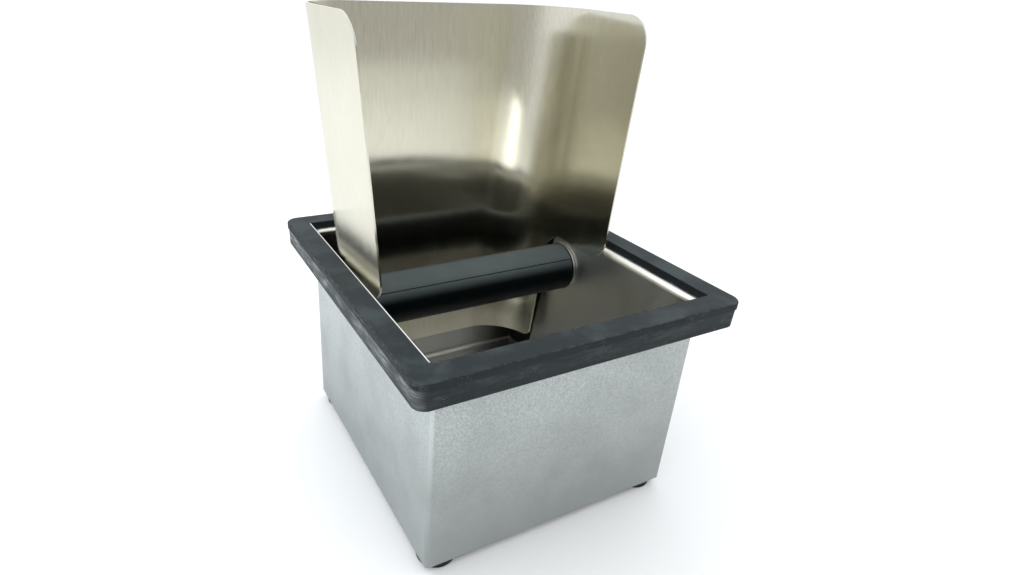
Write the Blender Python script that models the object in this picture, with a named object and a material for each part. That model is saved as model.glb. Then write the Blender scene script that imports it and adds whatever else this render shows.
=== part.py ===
"""Espresso knock box: a painted case on rubber feet, a lift-out steel liner that carries a
rubber rim and a sleeved knock bar, and a bent steel splash shield that drops in behind the bar.

Sizes are in millimetres and become metres as each mesh is made. The origin is on the surface
the box stands on, midway between its sides. X runs across the front, -Y faces the user.
"""

import math

import bmesh
import bpy

MM = 0.001
GAP = 0.3                 # between pieces that touch

# rubber rim
RIM_WIDTH = 180.0
RIM_DEPTH = 192.3
RIM_BAND = 12.4           # width of its top face
RIM_PLATE = 4.0           # thickness of its top plate
RIM_SKIRT = 14.1          # whole height of its outer side
RIM_SKIRT_WALL = 2.8
RIM_SKIRT_STEP = 0.6      # the top plate stands out this far past the skirt
RIM_DRAFT = 0.25
RIM_LIP = 2.4             # thickness of the lip that grips the flange from below
RIM_CORNER = 7.0
RIM_EDGE = 1.1
RIM_INNER_CORNER = 0.8

# steel liner
LINER_WALL = 0.9
LINER_FLOOR_CLEARANCE = 1.4  # screw tips to the liner's underside
LINER_MOUTH_BEND = 4.0
LINER_FLOOR_BEND = 4.0
LINER_CORNER = 2.0
LINER_FLANGE_EDGE = 2.9   # rim's outside to the flange's edge

# painted case
CASE_WALL = 1.2
CASE_FLANGE = 7.7         # how far its top edge is turned out
CASE_HEIGHT = 116.2       # underside to the top of that edge
CASE_CORNER = 2.5
CASE_FOOT_BEND = 1.8

# feet
FOOT_RADIUS = 10.0
FOOT_HEIGHT = 3.5
FOOT_MARGIN = 1.0         # case's outer wall to the foot's edge
FOOT_COUNTERBORE_CLEARANCE = 0.9
SCREW_HEAD_CLEARANCE = 0.2  # ground to the screw's head
SCREW_RADIUS = 2.0
SCREW_HEAD_RADIUS = 3.9
SCREW_HEAD_HEIGHT = 1.2
SCREW_RECESS_RADIUS = 1.3
SCREW_PROUD = 0.7         # thread that shows past the nut
WASHER_RADIUS = 4.5
WASHER_THICKNESS = 0.8
NUT_FLATS = 7.0
NUT_HEIGHT = 2.4

# knock bar
BAR_BACK = 28.85          # bar axis behind the middle of the box
BAR_DROP = 26.4           # bar axis below the liner's flange
BAR_RADIUS = 12.5
BAR_WALL = 1.5
BAR_DISC_MARGIN = 0.3     # disc's edge past the sleeve
BAR_DISC_THICKNESS = 1.2
SLEEVE_WALL = 2.2
SLEEVE_SLIT = 0.5
SLEEVE_SLIT_ANGLE = 140.0  # degrees from the back, over the top, to the front
SLEEVE_EDGE = 0.8

# splash shield
SHIELD_THICKNESS = 1.0
SHIELD_TOP = 246.0        # above the case's underside
SHIELD_BOTTOM = 30.3      # above the case's underside
SHIELD_BEND = 35.0
SHIELD_FLARE = 4.63       # degrees each side opens going up
SHIELD_TOE_IN = 2.5       # degrees each side closes going forward
SHIELD_LEAN = 2.0         # degrees the back leans back
SHIELD_FRONT_LEAN = 2.1   # degrees the front edges lean back
SHIELD_SIDE_CLEARANCE = 0.6
SHIELD_BACK_CLEARANCE = 3.4
SHIELD_REACH = 41.4       # front edges ahead of the bar's axis, at the liner's mouth
SHIELD_TOP_CORNER = 16.0
SHIELD_LOBE_CORNER = 13.0
SHIELD_STRIP_CORNER = 5.0
NOTCH_HEADROOM = 4.5      # sleeve's top to the sides' lower edge
NOTCH_BACK_CLEARANCE = 0.4
NOTCH_CORNER = 15.0

# smoothness
CORNER_STEPS = 5
EDGE_STEPS = 3
ROUND_STEPS = 48
SMALL_ROUND_STEPS = 24
BEND_STEPS = 12

# worked out from the sizes above
CASE_UNDERSIDE = FOOT_HEIGHT
FLANGE_UNDERSIDE = CASE_UNDERSIDE + CASE_HEIGHT + GAP
FLANGE_TOP = FLANGE_UNDERSIDE + LINER_WALL
RIM_TOP = FLANGE_TOP + GAP + RIM_PLATE
WASHER_LOW = CASE_UNDERSIDE + CASE_WALL + GAP
NUT_LOW = WASHER_LOW + WASHER_THICKNESS + GAP
SCREW_TIP = NUT_LOW + NUT_HEIGHT + SCREW_PROUD
LINER_FLOOR = SCREW_TIP + LINER_FLOOR_CLEARANCE + LINER_WALL
LINER_INSET = RIM_BAND + LINER_MOUTH_BEND  # rim's outside to the liner's inner face
LINER_HALF_WIDTH = RIM_WIDTH / 2 - LINER_INSET
LINER_HALF_DEPTH = RIM_DEPTH / 2 - LINER_INSET
CASE_INSET = LINER_INSET - LINER_WALL - GAP - CASE_WALL
BAR_HEIGHT = FLANGE_TOP - BAR_DROP
SLEEVE_BORE = BAR_RADIUS + GAP
SLEEVE_RADIUS = SLEEVE_BORE + SLEEVE_WALL
BAR_DISC_RADIUS = SLEEVE_RADIUS + BAR_DISC_MARGIN

RUBBER = ("black_rubber", (0.045, 0.05, 0.052), 0.62, 0.0)
SLEEVE_RUBBER = ("sleeve_rubber", (0.03, 0.033, 0.034), 0.5, 0.0)
BRUSHED = ("brushed_steel", (0.62, 0.61, 0.57), 0.32, 1.0)
SILVER_PAINT = ("silver_paint", (0.60, 0.62, 0.61), 0.48, 0.35)
ZINC = ("zinc_steel", (0.58, 0.58, 0.56), 0.38, 1.0)


def clear_scene():
    for thing in list(bpy.data.objects):
        bpy.data.objects.remove(thing, do_unlink=True)


def material(finish):
    name, colour, roughness, metallic = finish
    found = bpy.data.materials.get(name)
    if found:
        return found
    made = bpy.data.materials.new(name)
    made.use_nodes = True
    shader = made.node_tree.nodes["Principled BSDF"]
    shader.inputs["Base Color"].default_value = (*colour, 1.0)
    shader.inputs["Roughness"].default_value = roughness
    shader.inputs["Metallic"].default_value = metallic
    return made


def sub_part(name, work, finish, place=(0.0, 0.0, 0.0), soft=30.0):
    """Makes one sub-part from a bmesh in millimetres, placed at a point in millimetres."""
    bmesh.ops.remove_doubles(work, verts=work.verts, dist=0.0005)
    bmesh.ops.recalc_face_normals(work, faces=work.faces)
    bmesh.ops.scale(work, vec=(MM, MM, MM), verts=work.verts)
    mesh = bpy.data.meshes.new(name)
    work.to_mesh(mesh)
    work.free()
    mesh.shade_smooth()
    mesh.set_sharp_from_angle(angle=math.radians(soft))
    mesh.materials.append(material(finish))
    made = bpy.data.objects.new(name, mesh)
    made.location = [MM * value for value in place]
    bpy.context.scene.collection.objects.link(made)
    return made


def arc(centre, radius, start, end, steps):
    """Points on an arc, from one angle to another in degrees."""
    angles = [math.radians(start + (end - start) * step / steps) for step in range(steps + 1)]
    return [(centre[0] + radius * math.cos(a), centre[1] + radius * math.sin(a)) for a in angles]


def skin(loops, closed=False):
    """A bmesh whose loops of equal length are joined in order. Open ends are filled."""
    work = bmesh.new()
    rows = [[work.verts.new(point) for point in loop] for loop in loops]
    pairs = list(zip(rows, rows[1:]))
    if closed:
        pairs.append((rows[-1], rows[0]))
    for low, high in pairs:
        for at in range(len(low)):
            after = (at + 1) % len(low)
            work.faces.new((low[at], low[after], high[after], high[at]))
    if not closed:
        work.faces.new(rows[0])
        work.faces.new(reversed(rows[-1]))
    return work


def rounded_rectangle(half_x, half_y, radius, z):
    points = []
    for side_x, side_y, start in ((1, 1, 0), (-1, 1, 90), (-1, -1, 180), (1, -1, 270)):
        centre = (side_x * (half_x - radius), side_y * (half_y - radius))
        points += [(x, y, z) for x, y in arc(centre, radius, start, start + 90, CORNER_STEPS)]
    return points


def framed(section, corner_at):
    """Loops round the box from a section of (inset from the rim's outside, height) points."""
    return [
        rounded_rectangle(RIM_WIDTH / 2 - inset, RIM_DEPTH / 2 - inset, corner_at(inset), z)
        for inset, z in section
    ]


def turned(profile, steps):
    """A closed profile of (radius, height) points turned about Z."""
    loops = []
    for step in range(steps):
        angle = 2 * math.pi * step / steps
        loops.append([(r * math.cos(angle), r * math.sin(angle), z) for r, z in profile])
    return skin(loops, closed=True)


def along_x(work):
    """Turns a bmesh made about Z so that it lies about X."""
    for vert in work.verts:
        vert.co = (vert.co.z, vert.co.y, -vert.co.x)
    return work


def liner():
    """Deep folded pan: floor, four walls and a flange turned out over the case."""
    floor, wall, inner = LINER_FLOOR, LINER_WALL, LINER_INSET
    mouth = (inner - LINER_MOUTH_BEND, FLANGE_TOP - LINER_MOUTH_BEND)
    heel = (inner + LINER_FLOOR_BEND, floor + LINER_FLOOR_BEND)
    above = arc(heel, LINER_FLOOR_BEND, 270, 180, EDGE_STEPS)
    above += arc(mouth, LINER_MOUTH_BEND, 0, 90, CORNER_STEPS)
    above.append((LINER_FLANGE_EDGE, FLANGE_TOP))
    below = [(LINER_FLANGE_EDGE, FLANGE_UNDERSIDE)]
    below += arc(mouth, LINER_MOUTH_BEND - wall, 90, 0, CORNER_STEPS)
    below += arc(heel, LINER_FLOOR_BEND + wall, 180, 270, EDGE_STEPS)

    def corner_at(inset):
        return min(max(LINER_CORNER + inner - inset, 0.2), RIM_CORNER - LINER_FLANGE_EDGE + 1.0)

    return sub_part("liner", skin(framed(above + below, corner_at)), BRUSHED)


def rim_frame():
    """Rubber frame: a top plate, a skirt outside, and a lip that grips the liner's flange."""
    plate_under = FLANGE_TOP + GAP
    lip_top = FLANGE_UNDERSIDE - GAP
    lip_bottom = lip_top - RIM_LIP
    foot = RIM_TOP - RIM_SKIRT
    slot_end = LINER_FLANGE_EDGE - GAP
    lip_end = CASE_INSET - CASE_FLANGE - GAP
    skirt_top = plate_under - RIM_SKIRT_STEP / 2
    skirt_in = RIM_SKIRT_STEP + RIM_DRAFT
    section = [(skirt_in, foot), (RIM_SKIRT_STEP, skirt_top), (0.0, plate_under)]
    section += arc((RIM_EDGE, RIM_TOP - RIM_EDGE), RIM_EDGE, 180, 90, EDGE_STEPS)
    section += arc((RIM_BAND - 0.4, RIM_TOP - 0.4), 0.4, 90, 0, 2)
    section += [(RIM_BAND, plate_under), (slot_end, plate_under), (slot_end, lip_top)]
    section += [(lip_end, lip_top), (lip_end, lip_bottom)]
    section += [(skirt_in + RIM_SKIRT_WALL, lip_bottom), (skirt_in + RIM_SKIRT_WALL, foot)]

    def corner_at(inset):
        return max(RIM_CORNER - inset, RIM_INNER_CORNER)

    return sub_part("rim_frame", skin(framed(section, corner_at), closed=True), RUBBER)


def foot_places():
    inset = CASE_INSET + FOOT_MARGIN + FOOT_RADIUS
    across = RIM_WIDTH / 2 - inset
    along = RIM_DEPTH / 2 - inset
    return {
        "front_left": (-across, -along),
        "front_right": (across, -along),
        "rear_left": (-across, along),
        "rear_right": (across, along),
    }


def outer_case():
    """Folded box with its top edge turned out, drilled for the feet."""
    wall, outer = CASE_WALL, CASE_INSET
    low, high = CASE_UNDERSIDE, CASE_UNDERSIDE + CASE_HEIGHT
    nest = LINER_MOUTH_BEND - LINER_WALL - GAP
    mouth = (outer + wall - nest, high - nest)
    heel = (outer + CASE_FOOT_BEND, low + CASE_FOOT_BEND)
    edge = outer - CASE_FLANGE
    inside = arc(heel, CASE_FOOT_BEND - wall, 270, 180, EDGE_STEPS)
    inside += arc(mouth, nest, 0, 90, EDGE_STEPS)
    inside.append((edge, high))
    outside = [(edge, high - wall)]
    outside += arc(mouth, nest - wall, 90, 0, EDGE_STEPS)
    outside += arc(heel, CASE_FOOT_BEND, 180, 270, EDGE_STEPS)

    def corner_at(inset):
        return min(max(CASE_CORNER + outer - inset, 0.3), RIM_CORNER - edge + CASE_CORNER)

    case = sub_part("outer_case", skin(framed(inside + outside, corner_at)), SILVER_PAINT)
    for place, (x, y) in foot_places().items():
        hole = SCREW_RADIUS + GAP
        profile = [(0.0, -1.0), (hole, -1.0), (hole, wall + 1.0), (0.0, wall + 1.0)]
        drill = sub_part(f"drill_{place}", turned(profile, SMALL_ROUND_STEPS), ZINC, (x, y, low))
        drill.hide_render = True
        drill.display_type = "WIRE"
        cut = case.modifiers.new(f"hole_{place}", "BOOLEAN")
        cut.operation = "DIFFERENCE"
        cut.solver = "EXACT"
        cut.object = drill
    return case


def foot_set(place, x, y):
    """One rubber foot with the screw, washer and nut that hold it to the case's bottom."""
    bore = SCREW_RADIUS + GAP
    top = FOOT_HEIGHT - GAP
    head_bottom = SCREW_HEAD_CLEARANCE
    head_top = head_bottom + SCREW_HEAD_HEIGHT
    seat = head_top + GAP
    counterbore = SCREW_HEAD_RADIUS + FOOT_COUNTERBORE_CLEARANCE
    foot = [(bore, seat), (counterbore, seat), (counterbore, 0.0)]
    foot += [(FOOT_RADIUS - 0.8, 0.0), (FOOT_RADIUS, 0.8), (FOOT_RADIUS, top), (bore, top)]
    sub_part(f"foot_{place}", turned(foot, ROUND_STEPS // 2), RUBBER, (x, y, 0.0))

    recess_top = head_bottom + SCREW_HEAD_HEIGHT * 0.6
    screw = [(0.0, recess_top), (SCREW_RECESS_RADIUS, recess_top)]
    screw += [(SCREW_RECESS_RADIUS, head_bottom), (SCREW_HEAD_RADIUS - 0.4, head_bottom)]
    screw += [(SCREW_HEAD_RADIUS, head_bottom + 0.4), (SCREW_HEAD_RADIUS, head_top)]
    screw += [(SCREW_RADIUS, head_top), (SCREW_RADIUS, SCREW_TIP - 0.3)]
    screw += [(SCREW_RADIUS - 0.3, SCREW_TIP), (0.0, SCREW_TIP)]
    sub_part(f"foot_screw_{place}", turned(screw, SMALL_ROUND_STEPS), ZINC, (x, y, 0.0))

    washer = [(bore, 0.0), (WASHER_RADIUS, 0.0)]
    washer += [(WASHER_RADIUS, WASHER_THICKNESS), (bore, WASHER_THICKNESS)]
    flat = turned(washer, SMALL_ROUND_STEPS)
    sub_part(f"foot_washer_{place}", flat, ZINC, (x, y, WASHER_LOW))

    across_corners = NUT_FLATS / 2 / math.cos(math.pi / 6)
    outside = [across_corners * math.cos(math.pi / 6) / math.cos(turn) for turn in
               ((step % 4 - 2) * math.pi / 12 for step in range(SMALL_ROUND_STEPS))]
    loops = []
    for step, reach in enumerate(outside):
        angle = 2 * math.pi * step / SMALL_ROUND_STEPS
        ring = [(bore, 0.0), (reach, 0.0), (reach, NUT_HEIGHT), (bore, NUT_HEIGHT)]
        loops.append([(r * math.cos(angle), r * math.sin(angle), z) for r, z in ring])
    sub_part(f"foot_nut_{place}", skin(loops, closed=True), ZINC, (x, y, NUT_LOW))


def knock_bar():
    """Steel tube between two discs on the liner's walls, with a split rubber sleeve on it."""
    axis = (0.0, BAR_BACK, BAR_HEIGHT)
    wall = LINER_HALF_WIDTH - GAP
    disc_in = wall - BAR_DISC_THICKNESS
    for side, sign in (("left", -1), ("right", 1)):
        ends = sorted((sign * disc_in, sign * wall))
        disc = [(0.0, ends[0]), (BAR_DISC_RADIUS, ends[0]), (BAR_DISC_RADIUS, ends[1])]
        disc.append((0.0, ends[1]))
        sub_part(f"bar_disc_{side}", along_x(turned(disc, ROUND_STEPS)), BRUSHED, axis)
    half = disc_in - GAP
    bore = BAR_RADIUS - BAR_WALL
    tube = [(bore, -half), (BAR_RADIUS, -half), (BAR_RADIUS, half), (bore, half)]
    sub_part("bar_tube", along_x(turned(tube, ROUND_STEPS)), BRUSHED, axis)

    loops = []
    stations = [(-half, SLEEVE_EDGE), (-half + 0.25 * SLEEVE_EDGE, 0.25 * SLEEVE_EDGE)]
    stations.append((-half + SLEEVE_EDGE, 0.0))
    stations += [(-x, cut) for x, cut in reversed(stations)]
    half_slit = math.degrees(SLEEVE_SLIT / 2 / SLEEVE_RADIUS)
    start = SLEEVE_SLIT_ANGLE + half_slit
    end = SLEEVE_SLIT_ANGLE + 360 - half_slit
    for x, cut in stations:
        ring = arc((0.0, 0.0), SLEEVE_RADIUS - cut, start, end, ROUND_STEPS)
        ring += arc((0.0, 0.0), SLEEVE_BORE, end, start, ROUND_STEPS)
        loops.append([(x, y, z) for y, z in ring])
    sub_part("bar_sleeve", skin(loops), SLEEVE_RUBBER, axis)


def shield_plan(z, inward):
    """The bent sheet's line at one height, from its right front end round to its left one."""
    mouth = FLANGE_TOP
    toe = math.radians(SHIELD_TOE_IN)
    bend = SHIELD_BEND - inward
    back = LINER_HALF_DEPTH - SHIELD_BACK_CLEARANCE - inward
    back += (z - mouth) * math.tan(math.radians(SHIELD_LEAN))
    heel_x = LINER_HALF_WIDTH - SHIELD_SIDE_CLEARANCE - SHIELD_BEND
    heel_x += (z - mouth) * math.tan(math.radians(SHIELD_FLARE))
    centre = (heel_x, back - bend)
    turn = arc(centre, bend, -SHIELD_TOE_IN, 90.0, BEND_STEPS)
    ahead = BAR_BACK - SHIELD_REACH - SHIELD_TOP_CORNER
    front_x = turn[0][0] - (turn[0][1] - ahead) * math.tan(toe)
    side = [(front_x, ahead)] + turn
    return side + [(-x, y) for x, y in reversed(side)]


def shield_side_outline():
    """The shield seen from its side: front edges, lobes ahead of the bar, notch and tail."""
    top = CASE_UNDERSIDE + SHIELD_TOP
    bottom = CASE_UNDERSIDE + SHIELD_BOTTOM
    slope = math.tan(math.radians(SHIELD_FRONT_LEAN))
    lobe_bottom = BAR_HEIGHT + SLEEVE_RADIUS + NOTCH_HEADROOM
    tail_front = BAR_BACK + SLEEVE_RADIUS + NOTCH_BACK_CLEARANCE
    beyond = RIM_DEPTH / 2 + (top - RIM_TOP)

    def front(z):
        return BAR_BACK - SHIELD_REACH + (z - FLANGE_TOP) * slope

    lean = SHIELD_FRONT_LEAN
    lobe, crown = SHIELD_LOBE_CORNER, SHIELD_TOP_CORNER
    lobe_z = lobe_bottom + lobe
    crown_z = top - crown
    notch = (tail_front - NOTCH_CORNER, lobe_bottom - NOTCH_CORNER)
    tail = (tail_front + SHIELD_STRIP_CORNER, bottom + SHIELD_STRIP_CORNER)
    lobe_y = front(lobe_z) + lobe / math.cos(math.radians(lean))
    crown_y = front(crown_z) + crown / math.cos(math.radians(lean))
    outline = arc((crown_y, crown_z), crown, 90, 180 - lean, BEND_STEPS)
    outline += arc((lobe_y, lobe_z), lobe, 180 - lean, 270, BEND_STEPS)
    outline += arc(notch, NOTCH_CORNER, 90, 0, BEND_STEPS)
    outline += arc(tail, SHIELD_STRIP_CORNER, 180, 270, EDGE_STEPS)
    return outline + [(beyond, bottom), (beyond, top)]


def splash_shield():
    """One bent sheet, cut to its side outline."""
    low = CASE_UNDERSIDE + SHIELD_BOTTOM - SHIELD_TOP_CORNER
    high = CASE_UNDERSIDE + SHIELD_TOP + SHIELD_TOP_CORNER
    loops = []
    for z in (low, high):
        line = shield_plan(z, 0.0) + list(reversed(shield_plan(z, SHIELD_THICKNESS)))
        loops.append([(x, y, z) for x, y in line])
    shield = sub_part("splash_shield", skin(loops), BRUSHED)
    outline = shield_side_outline()
    half = RIM_WIDTH / 2 + SHIELD_TOP_CORNER
    loops = [[(x, y, z) for y, z in outline] for x in (-half, half)]
    cutter = sub_part("shield_outline", skin(loops), BRUSHED)
    cutter.hide_render = True
    cutter.display_type = "WIRE"
    trim = shield.modifiers.new("outline", "BOOLEAN")
    trim.operation = "INTERSECT"
    trim.solver = "EXACT"
    trim.object = cutter


def build():
    clear_scene()
    outer_case()
    for place, (x, y) in foot_places().items():
        foot_set(place, x, y)
    liner()
    rim_frame()
    knock_bar()
    splash_shield()


build()
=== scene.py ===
"""Looks of the espresso knock box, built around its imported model.

Every piece is rebuilt at fine resolution where the model says it is: a painted case on rubber
feet, a steel liner with a rubber rim and a sleeved knock bar, and a bent steel splash shield.
Lengths are in metres. X runs across the front, -Y faces the user, Z is up.
"""

import math

import bmesh
import bpy
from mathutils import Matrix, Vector


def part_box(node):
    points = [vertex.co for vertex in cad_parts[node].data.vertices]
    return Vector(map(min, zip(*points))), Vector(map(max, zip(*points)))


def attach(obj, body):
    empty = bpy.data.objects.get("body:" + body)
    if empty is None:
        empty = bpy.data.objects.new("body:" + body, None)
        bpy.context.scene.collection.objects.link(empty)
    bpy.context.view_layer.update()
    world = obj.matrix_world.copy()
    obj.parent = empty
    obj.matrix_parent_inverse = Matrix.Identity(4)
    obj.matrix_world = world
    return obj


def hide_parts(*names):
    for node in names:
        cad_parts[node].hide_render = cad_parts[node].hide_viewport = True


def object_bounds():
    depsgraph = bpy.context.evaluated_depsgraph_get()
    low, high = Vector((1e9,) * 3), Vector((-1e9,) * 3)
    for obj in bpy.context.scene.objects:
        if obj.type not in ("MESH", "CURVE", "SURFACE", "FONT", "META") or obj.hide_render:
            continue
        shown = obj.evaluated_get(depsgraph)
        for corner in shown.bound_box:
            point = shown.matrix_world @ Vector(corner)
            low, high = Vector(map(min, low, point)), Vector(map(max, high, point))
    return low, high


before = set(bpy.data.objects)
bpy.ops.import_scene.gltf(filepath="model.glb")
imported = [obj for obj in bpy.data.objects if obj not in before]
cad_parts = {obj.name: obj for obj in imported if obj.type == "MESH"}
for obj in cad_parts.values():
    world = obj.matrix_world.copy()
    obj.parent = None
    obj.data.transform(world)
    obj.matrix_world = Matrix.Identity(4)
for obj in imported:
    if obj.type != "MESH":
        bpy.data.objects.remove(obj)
cad_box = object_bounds()

MM = 0.001
GAP = 0.3 * MM            # between pieces that touch

# rubber rim
RIM_BAND = 12.4 * MM      # width of its top face
RIM_SKIRT_WALL = 2.8 * MM
RIM_SKIRT_STEP = 0.6 * MM
RIM_DRAFT = 0.25 * MM
RIM_LIP = 2.4 * MM
RIM_CORNER = 7.0 * MM
RIM_EDGE = 1.1 * MM
RIM_FOOT_EDGE = 0.3 * MM
RIM_INNER_EDGE = 0.4 * MM
RIM_INNER_CORNER = 0.8 * MM

# folded steel and paint
LINER_WALL = 0.9 * MM
LINER_BEND = 4.0 * MM
LINER_CORNER = 2.0 * MM
CASE_WALL = 1.2 * MM
CASE_CORNER = 2.5 * MM
CASE_FOOT_BEND = 1.8 * MM
LINER_LEAST_CORNER = 0.2 * MM
CASE_LEAST_CORNER = 0.3 * MM

# feet and what holds them
FOOT_BORE = 2.3 * MM
FOOT_COUNTERBORE = 4.8 * MM
FOOT_LIP = 0.8 * MM
SCREW_RADIUS = 2.0 * MM
SCREW_HEAD_HEIGHT = 1.2 * MM
SCREW_RECESS = 1.3 * MM
THREAD_PITCH = 0.7 * MM
THREAD_DEPTH = 0.22 * MM
SCREW_EDGE = 0.4 * MM
SCREW_POINT = 0.3 * MM
WASHER_EDGE = 0.15 * MM
NUT_CROWN = 0.25 * MM

# knock bar
BAR_WALL = 1.5 * MM
DISC_EDGE = 0.12 * MM
SLEEVE_BORE = 12.8 * MM
SLEEVE_SLIT = 0.5 * MM
SLEEVE_SLIT_ANGLE = 140.0  # degrees from the back, over the top, to the front
SLEEVE_EDGE = 0.8 * MM

# splash shield
SHIELD_THICKNESS = 1.0 * MM
SHIELD_BEND = 35.0 * MM
SHIELD_FLARE = 4.63       # angles in degrees
SHIELD_TOE_IN = 2.5
SHIELD_LEAN = 2.0
SHIELD_FRONT_LEAN = 2.1
SHIELD_SIDE_CLEARANCE = 0.6 * MM
SHIELD_BACK_CLEARANCE = 3.4 * MM
SHIELD_REACH = 41.4 * MM
SHIELD_TOP_CORNER = 16.0 * MM
SHIELD_LOBE_CORNER = 13.0 * MM
SHIELD_STRIP_CORNER = 5.0 * MM
SHIELD_CUT_EDGE = 0.32 * MM
NOTCH_HEADROOM = 4.5 * MM
NOTCH_BACK_CLEARANCE = 0.4 * MM
NOTCH_CORNER = 15.0 * MM

# smoothness
SMALL_EDGE_STEPS = 4
EDGE_STEPS = 6
CORNER_STEPS = 12
BEND_STEPS = 30
HOLE_STEPS = 32
WASHER_STEPS = 48
ROUND_STEPS = 96
FLAT_UP_TO = 35.0         # degrees between faces that still shade as one surface
EASED_FROM = 40.0         # degrees between faces whose shared edge is rounded

# places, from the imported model
rim_low, rim_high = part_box("rim_frame")
liner_low, liner_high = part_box("liner")
case_low, case_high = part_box("outer_case")
sleeve_low, sleeve_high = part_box("bar_sleeve")
disc_low, disc_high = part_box("bar_disc_right")
shield_low, shield_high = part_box("splash_shield")

HALF_X, HALF_Y = rim_high.x, rim_high.y
FLANGE_TOP = liner_high.z
FLANGE_UNDERSIDE = FLANGE_TOP - LINER_WALL
LINER_FLOOR = liner_low.z + LINER_WALL
LINER_FLANGE_EDGE = rim_high.x - liner_high.x
LINER_INSET = RIM_BAND + LINER_BEND
LINER_HALF_X = HALF_X - LINER_INSET
LINER_HALF_Y = HALF_Y - LINER_INSET
CASE_EDGE = rim_high.x - case_high.x
CASE_INSET = LINER_INSET - LINER_WALL - GAP - CASE_WALL
BAR_AXIS = (sleeve_low + sleeve_high) / 2
SLEEVE_RADIUS = (sleeve_high.z - sleeve_low.z) / 2
DISC_RADIUS = (disc_high.z - disc_low.z) / 2
TAIL_FRONT = BAR_AXIS.y + SLEEVE_RADIUS + NOTCH_BACK_CLEARANCE
RIM_LEDGE = FLANGE_TOP + GAP - RIM_SKIRT_STEP
FEET = ("front_left", "front_right", "rear_left", "rear_right")

# painted shade in the bin and a painted highlight on the rim's inner edge
# painted shade on the liner's walls behind the shield, standing for the dark gap there
BACK_SHADE_FROM = TAIL_FRONT + 0.8 * MM
BACK_SHADE_FADE = 2.5 * MM
BACK_SHADE_LEVEL = 68 * MM     # where the painted shade's slanted front edge crosses that depth
BACK_SHADE_SLANT = 0.17
BACK_SHADE_ACROSS = (25 * MM, 70 * MM)      # painted shade weaker nearer the middle, stronger farther out
# painted shade on the liner's front wall, under the front of the rim
FRONT_SHADE_DEPTH = (-78 * MM, -66 * MM)  # full on the front wall, gone behind it
# a painted highlight along the rim's left inner top edge
INNER_EDGE_HIGHLIGHT = (RIM_BAND - HALF_X - 0.3 * MM, HALF_Y - RIM_BAND)

# colours
STEEL = (0.71, 0.69, 0.575)
PALE_STEEL = (0.80, 0.80, 0.775)
# painted highlight colour for the shield's cut edges
CUT_EDGE_HIGHLIGHT = (0.92, 0.92, 0.88)
# painted shade colour for the liner's front wall
FRONT_SHADE_COLOUR = (0.16, 0.145, 0.115)
# painted shade colour for the liner's walls behind the shield
BACK_SHADE_COLOUR = (0.022, 0.019, 0.014)
SILVER = (0.46, 0.50, 0.49)
RIM_BLACK = (0.013, 0.0185, 0.0215)
SLEEVE_BLACK = (0.0020, 0.0038, 0.0042)
FOOT_BLACK = (0.012, 0.0125, 0.0125)
# dust grey, also used as painted top light on the rubber's upward faces
RUBBER_DUST_AND_LIGHT = (0.12, 0.145, 0.15)
RUBBER_WORN = (0.12, 0.135, 0.135)
RUBBER_SCUFF = (0.30, 0.32, 0.31)
RUBBER_SPECK = (0.36, 0.38, 0.37)
# painted highlight colour for the rim's inner edge
EDGE_HIGHLIGHT_WHITE = (0.80, 0.82, 0.81)
ZINC_DARK = (0.52, 0.53, 0.52)
ZINC_PALE = (0.66, 0.66, 0.62)
ZINC_DULL = (0.40, 0.40, 0.38)
TABLE_WHITE = (0.905, 0.915, 0.93)
TABLE_PALE = (0.93, 0.935, 0.945)
TABLE_FAR = (0.60, 0.595, 0.58)
TENT_WALLS = (1.02, 1.04, 1.09)
TENT_OPENING = (0.52, 0.515, 0.50)
TENT_CEILING = (1.45, 1.47, 1.47)


# ---------------------------------------------------------------- shapes

def arc(centre, radius, start, end, steps):
    """Points on an arc, from one angle to another in degrees."""
    angles = [math.radians(start + (end - start) * step / steps) for step in range(steps + 1)]
    return [(centre[0] + radius * math.cos(a), centre[1] + radius * math.sin(a)) for a in angles]


def skin(loops, closed=False):
    """A bmesh whose loops of equal length are joined in order. Open ends are filled."""
    work = bmesh.new()
    rows = [[work.verts.new(point) for point in loop] for loop in loops]
    pairs = list(zip(rows, rows[1:]))
    if closed:
        pairs.append((rows[-1], rows[0]))
    for low, high in pairs:
        for at in range(len(low)):
            after = (at + 1) % len(low)
            work.faces.new((low[at], low[after], high[after], high[at]))
    if not closed:
        work.faces.new(rows[0])
        work.faces.new(reversed(rows[-1]))
    return work


def rounded_rectangle(half_x, half_y, radius, z):
    """One level loop with rounded corners, anticlockwise from the right."""
    points = []
    for side_x, side_y, start in ((1, 1, 0), (-1, 1, 90), (-1, -1, 180), (1, -1, 270)):
        centre = (side_x * (half_x - radius), side_y * (half_y - radius))
        points += [(x, y, z) for x, y in arc(centre, radius, start, start + 90, CORNER_STEPS)]
    return points


def framed(section, corner_at):
    """Loops round the box from a section of (inset from the rim's outside, height) points."""
    return [
        rounded_rectangle(HALF_X - inset, HALF_Y - inset, corner_at(inset), z)
        for inset, z in section
    ]


def turned(profile, steps=ROUND_STEPS):
    """A closed profile of (radius, height) points turned about Z."""
    loops = []
    for step in range(steps):
        angle = 2 * math.pi * step / steps
        loops.append([(r * math.cos(angle), r * math.sin(angle), z) for r, z in profile])
    return skin(loops, closed=True)


def along_x(work):
    """Turns a bmesh made about Z so that it lies about X."""
    for vert in work.verts:
        vert.co = (vert.co.z, vert.co.y, -vert.co.x)
    return work


def moved(work, by):
    bmesh.ops.translate(work, vec=by, verts=work.verts)
    return work


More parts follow.
